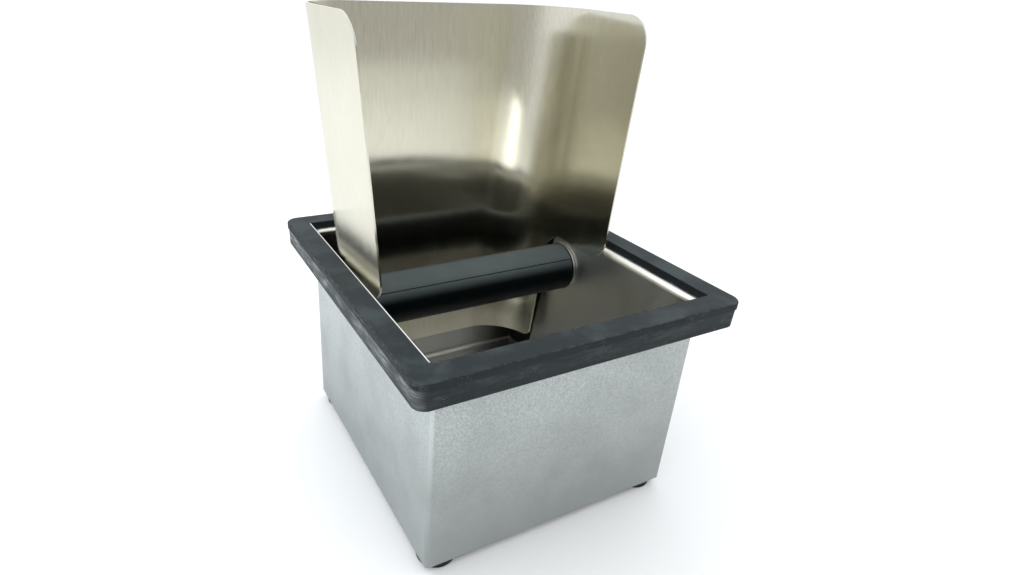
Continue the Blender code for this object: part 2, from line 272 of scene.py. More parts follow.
def raw_piece(name, work):
    """An object from a bmesh, with closed seams and its faces pointing out."""
    bmesh.ops.remove_doubles(work, verts=work.verts, dist=0.0005 * MM)
    bmesh.ops.recalc_face_normals(work, faces=work.faces)
    mesh = bpy.data.meshes.new(name)
    work.to_mesh(mesh)
    work.free()
    made = bpy.data.objects.new(name, mesh)
    bpy.context.scene.collection.objects.link(made)
    return made


def bevelled(piece, width):
    """Rounds a piece's sharp edges."""
    bevel = piece.modifiers.new("soft edges", "BEVEL")
    bevel.width = width
    bevel.segments = 2
    bevel.limit_method = "ANGLE"
    bevel.angle_limit = math.radians(EASED_FROM)
    return piece


def apply_modifiers(piece):
    """Replaces a piece's mesh by what its modifiers make of it."""
    bpy.context.view_layer.update()
    evaluated = piece.evaluated_get(bpy.context.evaluated_depsgraph_get())
    mesh = bpy.data.meshes.new_from_object(evaluated)
    mesh.name = piece.name
    piece.modifiers.clear()
    piece.data = mesh
    return mesh


def settle(piece):
    """Applies a piece's modifiers and shades its flats flat and its rounds round."""
    mesh = apply_modifiers(piece)
    mesh.shade_smooth()
    mesh.set_sharp_from_angle(angle=math.radians(FLAT_UP_TO))
    weigh = piece.modifiers.new("weighted normals", "WEIGHTED_NORMAL")
    weigh.keep_sharp = True
    apply_modifiers(piece)
    return piece


def finished(piece, finish, body, slot, *nodes):
    """Gives a piece its finish, its body and the model's solids that it stands for."""
    piece.data.materials.clear()
    piece.data.materials.append(finish)
    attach(piece, body)
    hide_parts(*nodes)
    return piece


# ---------------------------------------------------------------- finishes: shared effects

def group_of(name, inputs, outputs):
    """A new shader node group with named number inputs and outputs."""
    tree = bpy.data.node_groups.new(name, "ShaderNodeTree")
    for label, value in inputs:
        socket = tree.interface.new_socket(label, in_out="INPUT", socket_type="NodeSocketFloat")
        socket.default_value = value
    for label in outputs:
        tree.interface.new_socket(label, in_out="OUTPUT", socket_type="NodeSocketFloat")
    return tree, tree.nodes.new("NodeGroupInput"), tree.nodes.new("NodeGroupOutput")


def feed(tree, value, socket):
    """Links a socket, or sets a plain value."""
    if isinstance(value, bpy.types.NodeSocket):
        tree.links.new(value, socket)
    elif value is not None:
        socket.default_value = value


def maths(tree, operation, first, second=None, clamp=False):
    """The result of one operation on sockets or plain numbers."""
    node = tree.nodes.new("ShaderNodeMath")
    node.operation = operation
    node.use_clamp = clamp
    feed(tree, first, node.inputs[0])
    feed(tree, second, node.inputs[1])
    return node.outputs[0]


def product(tree, first, *others):
    for value in others:
        first = maths(tree, "MULTIPLY", first, value)
    return first


def axes(tree, vector):
    """The X, Y and Z of a vector."""
    node = tree.nodes.new("ShaderNodeSeparateXYZ")
    tree.links.new(vector, node.inputs[0])
    return node.outputs


def facing(tree):
    """The way the surface faces."""
    return tree.nodes.new("ShaderNodeTexCoord").outputs["Normal"]


def ramped(tree, value, low, high, to_low=0.0, to_high=1.0, smooth=True):
    """A value mapped from one range to another, held at its ends."""
    node = tree.nodes.new("ShaderNodeMapRange")
    node.interpolation_type = "SMOOTHSTEP" if smooth else "LINEAR"
    for socket, number in zip(node.inputs, (value, low, high, to_low, to_high)):
        feed(tree, number, socket)
    return node.outputs[0]


def place(tree, scale=(1, 1, 1), shift=(0, 0, 0)):
    """Object coordinates, scaled and then shifted."""
    coordinates = tree.nodes.new("ShaderNodeTexCoord")
    mapping = tree.nodes.new("ShaderNodeMapping")
    mapping.inputs["Scale"].default_value = scale
    mapping.inputs["Location"].default_value = shift
    tree.links.new(coordinates.outputs["Object"], mapping.inputs["Vector"])
    return mapping.outputs["Vector"]


def noise(tree, vector, scale, detail, roughness):
    """Clouds from 0 to 1. Each step of detail is weaker by the roughness."""
    node = tree.nodes.new("ShaderNodeTexNoise")
    tree.links.new(vector, node.inputs["Vector"])
    feed(tree, scale, node.inputs["Scale"])
    feed(tree, detail, node.inputs["Detail"])
    feed(tree, roughness, node.inputs["Roughness"])
    return node.outputs["Fac"]


def blended(tree, mask, first, second):
    """A colour between two, by a mask."""
    node = tree.nodes.new("ShaderNodeMix")
    node.data_type = "RGBA"
    feed(tree, mask, node.inputs["Factor"])
    for value, socket in ((first, node.inputs[6]), (second, node.inputs[7])):
        feed(tree, (*value, 1.0) if isinstance(value, tuple) else value, socket)
    return node.outputs[2]


def brushed_grain():
    """Fine lines up the walls and across the floor, as left by a belt on the sheet."""
    tree, given, out = group_of(
        "brushed_grain",
        [("Line Width", 0.15 * MM), ("Line Length", 12 * MM), ("Cloud Size", 18 * MM)],
        ["Lines", "Coarse Lines", "Clouds"],
    )
    fine = maths(tree, "DIVIDE", 1.0, given.outputs["Line Width"])
    long = maths(tree, "DIVIDE", 1.0, given.outputs["Line Length"])
    flat = ramped(tree, maths(tree, "ABSOLUTE", axes(tree, facing(tree))["Z"]), 0.6, 0.8)
    where = axes(tree, place(tree))
    for label, size, shift in (("Lines", 1.0, 0.0), ("Coarse Lines", 0.2, 7.0)):
        across = product(tree, fine, size)
        along = product(tree, long, size)
        mixed = tree.nodes.new("ShaderNodeMix")
        feed(tree, flat, mixed.inputs["Factor"])
        for side, scales in (("A", (across, across, along)), ("B", (along, across, across))):
            joined = tree.nodes.new("ShaderNodeCombineXYZ")
            for axis, by in zip("XYZ", scales):
                spot = product(tree, where[axis], by)
                feed(tree, maths(tree, "ADD", spot, shift), joined.inputs[axis])
            feed(tree, noise(tree, joined.outputs[0], 1.0, 3.0, 0.6), mixed.inputs[side])
        tree.links.new(mixed.outputs[0], out.inputs[label])
    cloud = maths(tree, "DIVIDE", 1.0, given.outputs["Cloud Size"])
    clouds = noise(tree, place(tree, (1.6, 1.6, 0.6)), cloud, 3.0, 0.55)
    tree.links.new(clouds, out.inputs["Clouds"])
    return tree


def edge_wear():
    """A mask on rounded edges, whose faces look along no axis, used plain for painted edge highlights
    and broken up where hands rub, for wear.
    """
    tree, given, out = group_of(
        "edge_wear", [("Reach", 0.12), ("Breakup Size", 4 * MM)], ["Edge", "Worn"]
    )
    x, y, z = (maths(tree, "ABSOLUTE", share) for share in axes(tree, facing(tree)))
    square = maths(tree, "MAXIMUM", maths(tree, "MAXIMUM", x, y), z)
    turned_away = maths(tree, "SUBTRACT", 1.0, square)
    edge = maths(tree, "DIVIDE", turned_away, given.outputs["Reach"], clamp=True)
    scale = maths(tree, "DIVIDE", 1.0, given.outputs["Breakup Size"])
    broken = ramped(tree, noise(tree, place(tree), scale, 4.0, 0.65), 0.42, 0.62)
    tree.links.new(edge, out.inputs["Edge"])
    tree.links.new(product(tree, edge, broken), out.inputs["Worn"])
    return tree


def dust_and_scuffs():
    """Settled coffee dust in specks and thin films, and scuffs dragged along the sides."""
    tree, given, out = group_of(
        "dust_and_scuffs",
        [("Speck Size", 0.5 * MM), ("Film Size", 14 * MM), ("Scuff Length", 9 * MM)],
        ["Specks", "Film", "Scuffs", "Streaks"],
    )
    speck = maths(tree, "DIVIDE", 1.0, given.outputs["Speck Size"])
    film = maths(tree, "DIVIDE", 1.0, given.outputs["Film Size"])
    scuff = maths(tree, "DIVIDE", 1.0, given.outputs["Scuff Length"])
    dots = tree.nodes.new("ShaderNodeTexVoronoi")
    tree.links.new(place(tree), dots.inputs["Vector"])
    tree.links.new(speck, dots.inputs["Scale"])
    patches = noise(tree, place(tree), film, 4.0, 0.6)
    near = ramped(tree, dots.outputs["Distance"], 0.10, 0.32, 1.0, 0.0)
    where = ramped(tree, noise(tree, place(tree, shift=(3, 1, 2)), scuff, 5.0, 0.7), 0.50, 0.68)
    tree.links.new(product(tree, near, where), out.inputs["Specks"])
    tree.links.new(ramped(tree, patches, 0.35, 0.75), out.inputs["Film"])
    drawn = ramped(tree, noise(tree, place(tree, (1, 1, 7)), scuff, 7.0, 0.8), 0.52, 0.72)
    worked = ramped(tree, noise(tree, place(tree, shift=(5, 2, 8)), film, 2.0, 0.5), 0.42, 0.66)
    streaks = noise(tree, place(tree, (0.7, 0.7, 5), (2, 6, 4)), scuff, 6.0, 0.75)
    tree.links.new(ramped(tree, streaks, 0.38, 0.66), out.inputs["Streaks"])
    tree.links.new(product(tree, drawn, worked), out.inputs["Scuffs"])
    return tree


def fine_texture():
    """Even grain of sprayed paint or moulded rubber, with a slow waviness under it."""
    tree, given, out = group_of(
        "fine_texture", [("Grain Size", 0.35 * MM), ("Wave Size", 30 * MM)], ["Grain", "Wave"]
    )
    grain = maths(tree, "DIVIDE", 1.0, given.outputs["Grain Size"])
    wave = maths(tree, "DIVIDE", 1.0, given.outputs["Wave Size"])
    tree.links.new(noise(tree, place(tree), grain, 3.0, 0.6), out.inputs["Grain"])
    tree.links.new(noise(tree, place(tree), wave, 1.0, 0.5), out.inputs["Wave"])
    return tree


def outside_faces():
    """Masks by the way a face looks: upright, upright and away from the middle, the left ones of
    those more than the rest, up and a little forward, and off the upright."""
    tree, given, out = group_of(
        "outside_faces",
        [("Front Share", 0.12)],
        ["Upright", "Side", "Rubbed", "Upward", "Cut"],
    )
    normal = facing(tree)
    looks = axes(tree, normal)
    flatness = maths(tree, "ABSOLUTE", looks["Z"])
    upright = ramped(tree, flatness, 0.5, 0.8, 1.0, 0.0)
    away = tree.nodes.new("ShaderNodeVectorMath")
    away.operation = "DOT_PRODUCT"
    tree.links.new(normal, away.inputs[0])
    tree.links.new(place(tree, (1, 1, 0)), away.inputs[1])
    outward = maths(tree, "GREATER_THAN", away.outputs["Value"], 0.0)
    side = product(tree, upright, outward)
    left = ramped(tree, looks["X"], -0.9, -0.2, 1.0, given.outputs["Front Share"])
    upward = maths(tree, "SUBTRACT", looks["Z"], product(tree, looks["Y"], 0.4))
    masks = {
        "Upright": upright,
        "Side": side,
        "Rubbed": product(tree, side, left),
        "Upward": ramped(tree, upward, 0.6, 1.05),
        "Cut": ramped(tree, flatness, 0.12, 0.30),
    }
    for label, mask in masks.items():
        tree.links.new(mask, out.inputs[label])
    return tree


EFFECTS = {
    "outside": outside_faces(),
    "grain": brushed_grain(),
    "edge": edge_wear(),
    "dust": dust_and_scuffs(),
    "fine": fine_texture(),
}


class Finish:
    """One material in the making: a Principled shader and what feeds it."""

    def __init__(self, name, roughness, metallic, constants=None):
        self.material = bpy.data.materials.new(name)
        self.material.use_nodes = True
        self.tree = self.material.node_tree
        self.shader = self.tree.nodes["Principled BSDF"]
        settings = {"Roughness": roughness, "Metallic": metallic, **(constants or {})}
        for label, value in settings.items():
            self.shader.inputs[label].default_value = value
        self.normal = None

    def effect(self, key, **values):
        """The outputs of a shared effect, with its named inputs set."""
        node = self.tree.nodes.new("ShaderNodeGroup")
        node.node_tree = EFFECTS[key]
        for label, value in values.items():
            node.inputs[label.replace("_", " ").title()].default_value = value
        return node.outputs

    def blend(self, mask, first, second):
        return blended(self.tree, mask, first, second)

    def colour(self, socket):
        self.tree.links.new(socket, self.shader.inputs["Base Color"])

    def roughness(self, socket):
        self.tree.links.new(socket, self.shader.inputs["Roughness"])

    def bump(self, height, distance, strength):
        """Adds a relief to those before it."""
        node = self.tree.nodes.new("ShaderNodeBump")
        node.inputs["Strength"].default_value = strength
        node.inputs["Distance"].default_value = distance
        self.tree.links.new(height, node.inputs["Height"])
        if self.normal is not None:
            self.tree.links.new(self.normal, node.inputs["Normal"])
        self.normal = node.outputs["Normal"]
        self.tree.links.new(self.normal, self.shader.inputs["Normal"])


def shade(colour, by):
    """A colour made darker or paler, never paler than white."""
    return tuple(min(1.0, value * by) for value in colour)


# ---------------------------------------------------------------- finishes

def brushed_steel(name, colour, roughness, line_length, smear, contrast, shaded_behind=None, cut_highlight=0.0):
    """Belt-grained stainless sheet: fine lines, cloudy polish and a hint of waviness. Cut edges are
    painted paler than the sheet, as a painted highlight. Where a depth along Y is given, the walls
    behind it get painted shade, stronger away from the middle, and the front wall gets painted shade too."""
    made = Finish(name, roughness, 1.0, {"Anisotropic": smear})
    tree = made.tree
    grain = made.effect("grain", line_width=0.34 * MM, line_length=line_length)
    wave = made.effect("fine", wave_size=60 * MM)
    tone = ramped(tree, grain["Lines"], 0.30, 0.70, smooth=False)
    lined = made.blend(tone, shade(colour, 1.0 - contrast), shade(colour, 1.0 + 0.7 * contrast))
    coarse = ramped(tree, grain["Coarse Lines"], 0.35, 0.75, 0.0, 2.5 * contrast)
    sheet = made.blend(coarse, lined, shade(colour, 0.86))
    faces = made.effect("outside")
    # cut edges, the faces off the upright, get a painted highlight
    cut = product(tree, faces["Cut"], cut_highlight)
    highlighted = made.blend(cut, sheet, CUT_EDGE_HIGHLIGHT)
    cloudy = ramped(tree, grain["Clouds"], 0.3, 0.7, roughness * 0.90, roughness * 1.10)
    rough = ramped(tree, grain["Lines"], 0.3, 0.7, -0.05 * contrast, 0.15 * contrast)
    polish = maths(tree, "ADD", maths(tree, "ADD", cloudy, rough), product(tree, cut, 0.4))
    if shaded_behind is None:
        made.colour(highlighted)
        made.roughness(polish)
    else:
        # painted shade on the walls behind the shield and on the front wall
        where = axes(tree, place(tree))
        slant = product(tree, maths(tree, "SUBTRACT", where["Z"], BACK_SHADE_LEVEL), BACK_SHADE_SLANT)
        behind = ramped(tree, maths(tree, "ADD", where["Y"], slant), shaded_behind, shaded_behind + BACK_SHADE_FADE)
        corner = ramped(tree, maths(tree, "ABSOLUTE", where["X"]), *BACK_SHADE_ACROSS, 0.4, 0.97)
        back_shade = product(tree, behind, corner, faces["Upright"])
        # painted shade on the front wall
        front_shade = product(tree, ramped(tree, where["Y"], *FRONT_SHADE_DEPTH, 0.75, 0.0), faces["Upright"])
        front_shaded = made.blend(front_shade, highlighted, FRONT_SHADE_COLOUR)
        made.colour(made.blend(back_shade, front_shaded, BACK_SHADE_COLOUR))
        made.roughness(maths(tree, "ADD", polish, product(tree, back_shade, 0.3)))
    made.bump(wave["Wave"], 0.01 * MM, 0.4)
    made.bump(grain["Lines"], 0.002 * MM, 0.3)
    return made.material


def silver_paint():
    """Sprayed silver enamel with a fine orange peel, with a painted highlight along its folds and
    painted shade darkening it toward the counter."""
    made = Finish("silver_paint", 0.44, 0.35, {"Coat Weight": 0.10, "Coat Roughness": 0.30})
    tree = made.tree
    fine = made.effect("fine", grain_size=0.75 * MM, wave_size=50 * MM)
    edge = made.effect("edge", reach=0.12, breakup_size=9 * MM)
    dust = made.effect("dust", film_size=38 * MM)
    flake = ramped(tree, fine["Grain"], 0.36, 0.64)
    flaked = made.blend(flake, shade(SILVER, 0.80), shade(SILVER, 1.17))
    # a painted highlight along the folded edges
    edge_highlight = made.blend(product(tree, edge["Edge"], 0.75), flaked, shade(SILVER, 1.35))
    # painted shade, darkest at the foot, fading to none at the top
    foot_shade = ramped(tree, axes(tree, place(tree))["Z"], case_low.z, case_high.z, 0.95, 0.0)
    # film: the dust film plus the painted shade toward the foot
    film = maths(tree, "ADD", product(tree, dust["Film"], 0.22), foot_shade, clamp=True)
    made.colour(made.blend(film, edge_highlight, shade(SILVER, 0.60)))
    made.roughness(ramped(tree, dust["Film"], 0.0, 1.0, 0.40, 0.52))
    made.bump(fine["Wave"], 0.12 * MM, 0.5)
    made.bump(fine["Grain"], 0.05 * MM, 0.6)
    return made.material


def moulded_rubber(
    name, colour, roughness, gloss, dust_and_top_light, patchy, scuffed, grained, ledge=None, highlight_line=None
):
    """Black rubber, greyed on top by dust and by a painted top light, and scuffed down its sides.
    Below a ledge, given by its height, the outside is rubbed grey. A highlight line, given by its X
    and its ends along Y, is a painted highlight on the rim's inner top edge."""
    made = Finish(name, roughness, 0.0, {"Specular IOR Level": gloss})
    tree = made.tree
    fine = made.effect("fine", grain_size=0.5 * MM, wave_size=26 * MM)
    edge = made.effect("edge", reach=0.20, breakup_size=5 * MM)
    dust = made.effect("dust", speck_size=0.8 * MM, film_size=22 * MM, scuff_length=11 * MM)
    mottled = made.blend(fine["Grain"], shade(colour, 1.0 - grained / 2), shade(colour, 1.0 + grained / 2))
    faces = made.effect("outside")
    patches = ramped(tree, dust["Film"], 0.0, 1.0, 1.0 - patchy, 1.0)
    # dust on the upward faces, and painted top light: upper faces greyed as if lit from above
    dusted_and_lit = made.blend(product(tree, patches, dust_and_top_light, faces["Upward"]), mottled, RUBBER_DUST_AND_LIGHT)
    rubbed_side = product(tree, faces["Rubbed"], scuffed)
    scuffs = product(tree, dust["Scuffs"], rubbed_side)
    where = axes(tree, place(tree))
    if ledge is not None:
        under = ramped(tree, where["Z"], ledge - 0.3 * MM, ledge + 0.9 * MM, 1.0, 0.0)
        near = ramped(tree, where["Z"], ledge - 9 * MM, ledge - 4 * MM, 0.35, 1.0)
        thick = ramped(tree, dust["Film"], 0.0, 0.6, 0.30, 0.85)
        streaky = ramped(tree, dust["Streaks"], 0.0, 1.0, 0.25, 1.0)
        band = product(tree, under, near, streaky, thick, rubbed_side)
        scuffs = maths(tree, "ADD", scuffs, band, clamp=True)
    rubbed = made.blend(scuffs, dusted_and_lit, RUBBER_SCUFF)
    specks = product(tree, dust["Specks"], faces["Side"], 0.4 * scuffed)
    specked = made.blend(specks, rubbed, RUBBER_SPECK)
    aged = made.blend(product(tree, edge["Worn"], 0.3 * scuffed), specked, RUBBER_WORN)
    if highlight_line is None:
        made.colour(aged)
    else:
        # a painted highlight along the rim's inner top edge
        at, end = highlight_line
        off = maths(tree, "ABSOLUTE", maths(tree, "SUBTRACT", where["X"], at))
        edge_highlight = ramped(tree, off, 0.3 * MM, 0.6 * MM, 0.9, 0.0)
        along = ramped(tree, maths(tree, "ABSOLUTE", where["Y"]), end - 2 * MM, end, 1.0, 0.0)
        made.colour(made.blend(product(tree, edge_highlight, along), aged, EDGE_HIGHLIGHT_WHITE))
    made.roughness(ramped(tree, dust["Film"], 0.0, 1.0, roughness, roughness + 0.12 * patchy))
    made.bump(fine["Wave"], 0.08 * MM, 0.3)
    made.bump(fine["Grain"], 0.04 * MM, grained)
    return made.material


def zinc_plate():
    """Zinc-plated fasteners, faintly clouded."""
    made = Finish("zinc_plate", 0.34, 1.0)
    tree = made.tree
    fine = made.effect("fine", grain_size=0.25 * MM, wave_size=3 * MM)
    dust = made.effect("dust", film_size=2.5 * MM)
    clouded = made.blend(fine["Wave"], ZINC_DARK, ZINC_PALE)
    made.colour(made.blend(product(tree, dust["Film"], 0.4), clouded, ZINC_DULL))
    made.roughness(ramped(tree, fine["Wave"], 0.3, 0.7, 0.28, 0.42))
    made.bump(fine["Grain"], 0.01 * MM, 0.4)
    return made.material


PAINT = silver_paint()
SHIELD_STEEL = brushed_steel(
    "shield_steel", STEEL, roughness=0.18, line_length=30 * MM, smear=1.0, contrast=0.10, cut_highlight=0.9
)
LINER_STEEL = brushed_steel(
    "liner_steel", PALE_STEEL, roughness=0.38, line_length=40 * MM, smear=0.3, contrast=0.02,
    shaded_behind=BACK_SHADE_FROM,
)
BAR_STEEL = brushed_steel(
    "bar_steel", shade(PALE_STEEL, 0.6), roughness=0.36, line_length=8 * MM, smear=0.4, contrast=0.03
)
RIM_RUBBER = moulded_rubber(
    "rim_rubber", RIM_BLACK, roughness=0.58, gloss=0.17, dust_and_top_light=0.34, patchy=0.8, scuffed=0.9,
    grained=0.5, ledge=RIM_LEDGE, highlight_line=INNER_EDGE_HIGHLIGHT,
)
# the sleeve's even grey top is mostly painted top light
SLEEVE_RUBBER = moulded_rubber(
    "sleeve_rubber", SLEEVE_BLACK, roughness=0.42, gloss=0.06, dust_and_top_light=0.85, patchy=0.10, scuffed=0.03,
    grained=0.2,
)
FOOT_RUBBER = moulded_rubber(
    "foot_rubber", FOOT_BLACK, roughness=0.6, gloss=0.2, dust_and_top_light=0.10, patchy=0.6, scuffed=0.1,
    grained=0.5,
)
ZINC = zinc_plate()


# ---------------------------------------------------------------- pieces

def case_shell():
    """Folded and painted box with its top edge turned out, drilled for the feet."""
    wall, outer = CASE_WALL, CASE_INSET
    low, high = case_low.z, case_high.z
    nest = LINER_BEND - LINER_WALL - GAP
    mouth = (outer + wall - nest, high - nest)
    heel = (outer + CASE_FOOT_BEND, low + CASE_FOOT_BEND)
    inside = arc(heel, CASE_FOOT_BEND - wall, 270, 180, EDGE_STEPS)
    inside += arc(mouth, nest, 0, 90, EDGE_STEPS)
    inside.append((CASE_EDGE, high))
    outside = [(CASE_EDGE, high - wall)]
    outside += arc(mouth, nest - wall, 90, 0, EDGE_STEPS)
    outside += arc(heel, CASE_FOOT_BEND, 180, 270, EDGE_STEPS)

    def corner_at(inset):
        outermost = RIM_CORNER - CASE_EDGE + CASE_CORNER
        return min(max(CASE_CORNER + outer - inset, CASE_LEAST_CORNER), outermost)

    shell = raw_piece("case_shell", skin(framed(inside + outside, corner_at)))
    drills = []
    for corner in FEET:
        foot_low, foot_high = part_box(f"foot_{corner}")
        centre = (foot_low + foot_high) / 2
        profile = [(0.0, -MM), (FOOT_BORE, -MM), (FOOT_BORE, wall + MM), (0.0, wall + MM)]
        bit = moved(turned(profile, HOLE_STEPS), (centre.x, centre.y, low))
        drill = raw_piece(f"drill_{corner}", bit)
        drills.append(drill)
        cut = shell.modifiers.new("foot hole", "BOOLEAN")
        cut.object = drill
    settle(shell)
    for drill in drills:
        bpy.data.objects.remove(drill)
    return finished(shell, PAINT, "case", "silver_paint", "outer_case")


def liner_pan():
    """Deep folded pan: floor, four walls and a flange turned out over the case."""
    wall, inner, floor = LINER_WALL, LINER_INSET, LINER_FLOOR
    mouth = (inner - LINER_BEND, FLANGE_TOP - LINER_BEND)
    heel = (inner + LINER_BEND, floor + LINER_BEND)
    above = arc(heel, LINER_BEND, 270, 180, EDGE_STEPS)
    above += arc(mouth, LINER_BEND, 0, 90, 2 * EDGE_STEPS)
    above.append((LINER_FLANGE_EDGE, FLANGE_TOP))
    below = [(LINER_FLANGE_EDGE, FLANGE_UNDERSIDE)]
    below += arc(mouth, LINER_BEND - wall, 90, 0, 2 * EDGE_STEPS)
    below += arc(heel, LINER_BEND + wall, 180, 270, EDGE_STEPS)

    def corner_at(inset):
        outermost = RIM_CORNER - LINER_FLANGE_EDGE + MM
        return min(max(LINER_CORNER + inner - inset, LINER_LEAST_CORNER), outermost)

    pan = settle(raw_piece("liner_pan", skin(framed(above + below, corner_at))))
    return finished(pan, LINER_STEEL, "liner", "liner_steel", "liner")


def rubber_rim():
    """Rubber frame: a top plate, a skirt outside, and a lip that grips the liner's flange."""
    plate_under = FLANGE_TOP + GAP
    lip_top = FLANGE_UNDERSIDE - GAP
    lip_bottom = lip_top - RIM_LIP
    foot, top = rim_low.z, rim_high.z
    slot_end = LINER_FLANGE_EDGE - GAP
    lip_end = CASE_EDGE - GAP
    skirt_top = plate_under - RIM_SKIRT_STEP / 2
    skirt_in = RIM_SKIRT_STEP + RIM_DRAFT
    skirt_inside = skirt_in + RIM_SKIRT_WALL
    heel = (skirt_in + RIM_FOOT_EDGE, foot + RIM_FOOT_EDGE)
    brow = (RIM_BAND - RIM_INNER_EDGE, top - RIM_INNER_EDGE)
    section = arc(heel, RIM_FOOT_EDGE, 270, 180, EDGE_STEPS)
    section += [(RIM_SKIRT_STEP, skirt_top), (0.0, plate_under)]
    section += arc((RIM_EDGE, top - RIM_EDGE), RIM_EDGE, 180, 90, 2 * EDGE_STEPS)
    section += arc(brow, RIM_INNER_EDGE, 90, 0, EDGE_STEPS)
    section += [(RIM_BAND, plate_under), (slot_end, plate_under), (slot_end, lip_top)]
    section += [(lip_end, lip_top), (lip_end, lip_bottom)]
    section += [(skirt_inside, lip_bottom), (skirt_inside, foot)]

    def corner_at(inset):
        return max(RIM_CORNER - inset, RIM_INNER_CORNER)

    rim = settle(raw_piece("rubber_rim", skin(framed(section, corner_at), closed=True)))
    return finished(rim, RIM_RUBBER, "liner", "rim_rubber", "rim_frame")


def bar_discs():
    """The two steel discs that hold the knock bar to the liner's walls."""
    for side in ("left", "right"):
        low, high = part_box(f"bar_disc_{side}")
        brim = DISC_RADIUS - DISC_EDGE
        edge = arc((low.x + DISC_EDGE, brim), DISC_EDGE, 180, 90, SMALL_EDGE_STEPS)
        edge += arc((high.x - DISC_EDGE, brim), DISC_EDGE, 90, 0, SMALL_EDGE_STEPS)
        profile = [(0.0, low.x)] + [(radius, x) for x, radius in edge] + [(0.0, high.x)]
        disc = moved(along_x(turned(profile)), (0.0, BAR_AXIS.y, BAR_AXIS.z))
        piece = settle(raw_piece(f"steel_disc_{side}", disc))
        finished(piece, BAR_STEEL, "liner", "bar_steel", f"bar_disc_{side}")


def bar_core():
    """The steel tube inside the sleeve."""
    low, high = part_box("bar_tube")
    radius = (high.z - low.z) / 2
    bore = radius - BAR_WALL
    profile = [(bore, low.x), (radius, low.x), (radius, high.x), (bore, high.x)]
    tube = moved(along_x(turned(profile)), (0.0, BAR_AXIS.y, BAR_AXIS.z))
    core = settle(raw_piece("steel_bar_core", tube))
    return finished(core, BAR_STEEL, "liner", "bar_steel", "bar_tube")


def node_tree(name, inputs):
    """A Geometry Nodes tree with named inputs and one geometry output."""
    tree = bpy.data.node_groups.new(name, "GeometryNodeTree")
    kinds = {
        "value": "NodeSocketFloat",
        "place": "NodeSocketVector",
        "piece": "NodeSocketObject",
        "finish": "NodeSocketMaterial",
    }
    for label, kind in inputs:
        tree.interface.new_socket(label, in_out="INPUT", socket_type=kinds[kind])
    tree.interface.new_socket("Geometry", in_out="OUTPUT", socket_type="NodeSocketGeometry")
    return tree, tree.nodes.new("NodeGroupInput"), tree.nodes.new("NodeGroupOutput")


def end_tree(tree, geometry, finish, out):
    """Ends a tree with real geometry in its finish."""
    real = tree.nodes.new("GeometryNodeRealizeInstances")
    painted = tree.nodes.new("GeometryNodeSetMaterial")
    tree.links.new(geometry, real.inputs["Geometry"])
    tree.links.new(real.outputs["Geometry"], painted.inputs["Geometry"])
    tree.links.new(finish, painted.inputs["Material"])
    tree.links.new(painted.outputs["Geometry"], out.inputs["Geometry"])


def grown(name, tree, values):
    """A plain mesh piece from a Geometry Nodes tree and the values of its named inputs."""
    piece = bpy.data.objects.new(name, bpy.data.meshes.new(name))
    bpy.context.scene.collection.objects.link(piece)
    modifier = piece.modifiers.new(name, "NODES")
    modifier.node_group = tree
    sockets = {s.name: s.identifier for s in tree.interface.items_tree if s.in_out == "INPUT"}
    for label, value in values.items():
        modifier[sockets[label]] = value
    return settle(piece)


def sleeve_tree():
    """A rounded wall section swept about the bar, short of a full turn by its slit."""
    tree, given, out = node_tree("split_sleeve", [
        ("Length", "value"), ("Outer Radius", "value"), ("Bore Radius", "value"),
        ("Slit Width", "value"), ("Slit Angle", "value"), ("Edge Radius", "value"),
        ("Centre", "place"), ("Finish", "finish"),
    ])
    values = given.outputs
    wall = maths(tree, "SUBTRACT", values["Outer Radius"], values["Bore Radius"])
    both = maths(tree, "ADD", values["Outer Radius"], values["Bore Radius"])
    middle = maths(tree, "MULTIPLY", both, 0.5)
    slit = maths(tree, "DIVIDE", values["Slit Width"], values["Outer Radius"])
    sweep = maths(tree, "SUBTRACT", 2 * math.pi, slit)
    around = tree.nodes.new("GeometryNodeCurveArc")
    around.inputs["Resolution"].default_value = 2 * ROUND_STEPS
    start = maths(tree, "ADD", values["Slit Angle"], maths(tree, "MULTIPLY", slit, 0.5))
    for label, socket in (("Radius", middle), ("Start Angle", start), ("Sweep Angle", sweep)):
        feed(tree, socket, around.inputs[label])
    section = tree.nodes.new("GeometryNodeCurvePrimitiveQuadrilateral")
    feed(tree, wall, section.inputs["Width"])
    feed(tree, values["Length"], section.inputs["Height"])
    fillet = tree.nodes.new("GeometryNodeFilletCurve")
    fillet.mode = "POLY"
    fillet.inputs["Count"].default_value = EDGE_STEPS
    feed(tree, values["Edge Radius"], fillet.inputs["Radius"])
    tree.links.new(section.outputs["Curve"], fillet.inputs["Curve"])
    swept = tree.nodes.new("GeometryNodeCurveToMesh")
    swept.inputs["Fill Caps"].default_value = True
    tree.links.new(around.outputs["Curve"], swept.inputs["Curve"])
    tree.links.new(fillet.outputs["Curve"], swept.inputs["Profile Curve"])
    laid = tree.nodes.new("GeometryNodeTransform")
    laid.inputs["Rotation"].default_value = (math.pi / 2, 0.0, math.pi / 2)
    tree.links.new(swept.outputs["Mesh"], laid.inputs["Geometry"])
    feed(tree, values["Centre"], laid.inputs["Translation"])
    end_tree(tree, laid.outputs["Geometry"], values["Finish"], out)
    return tree


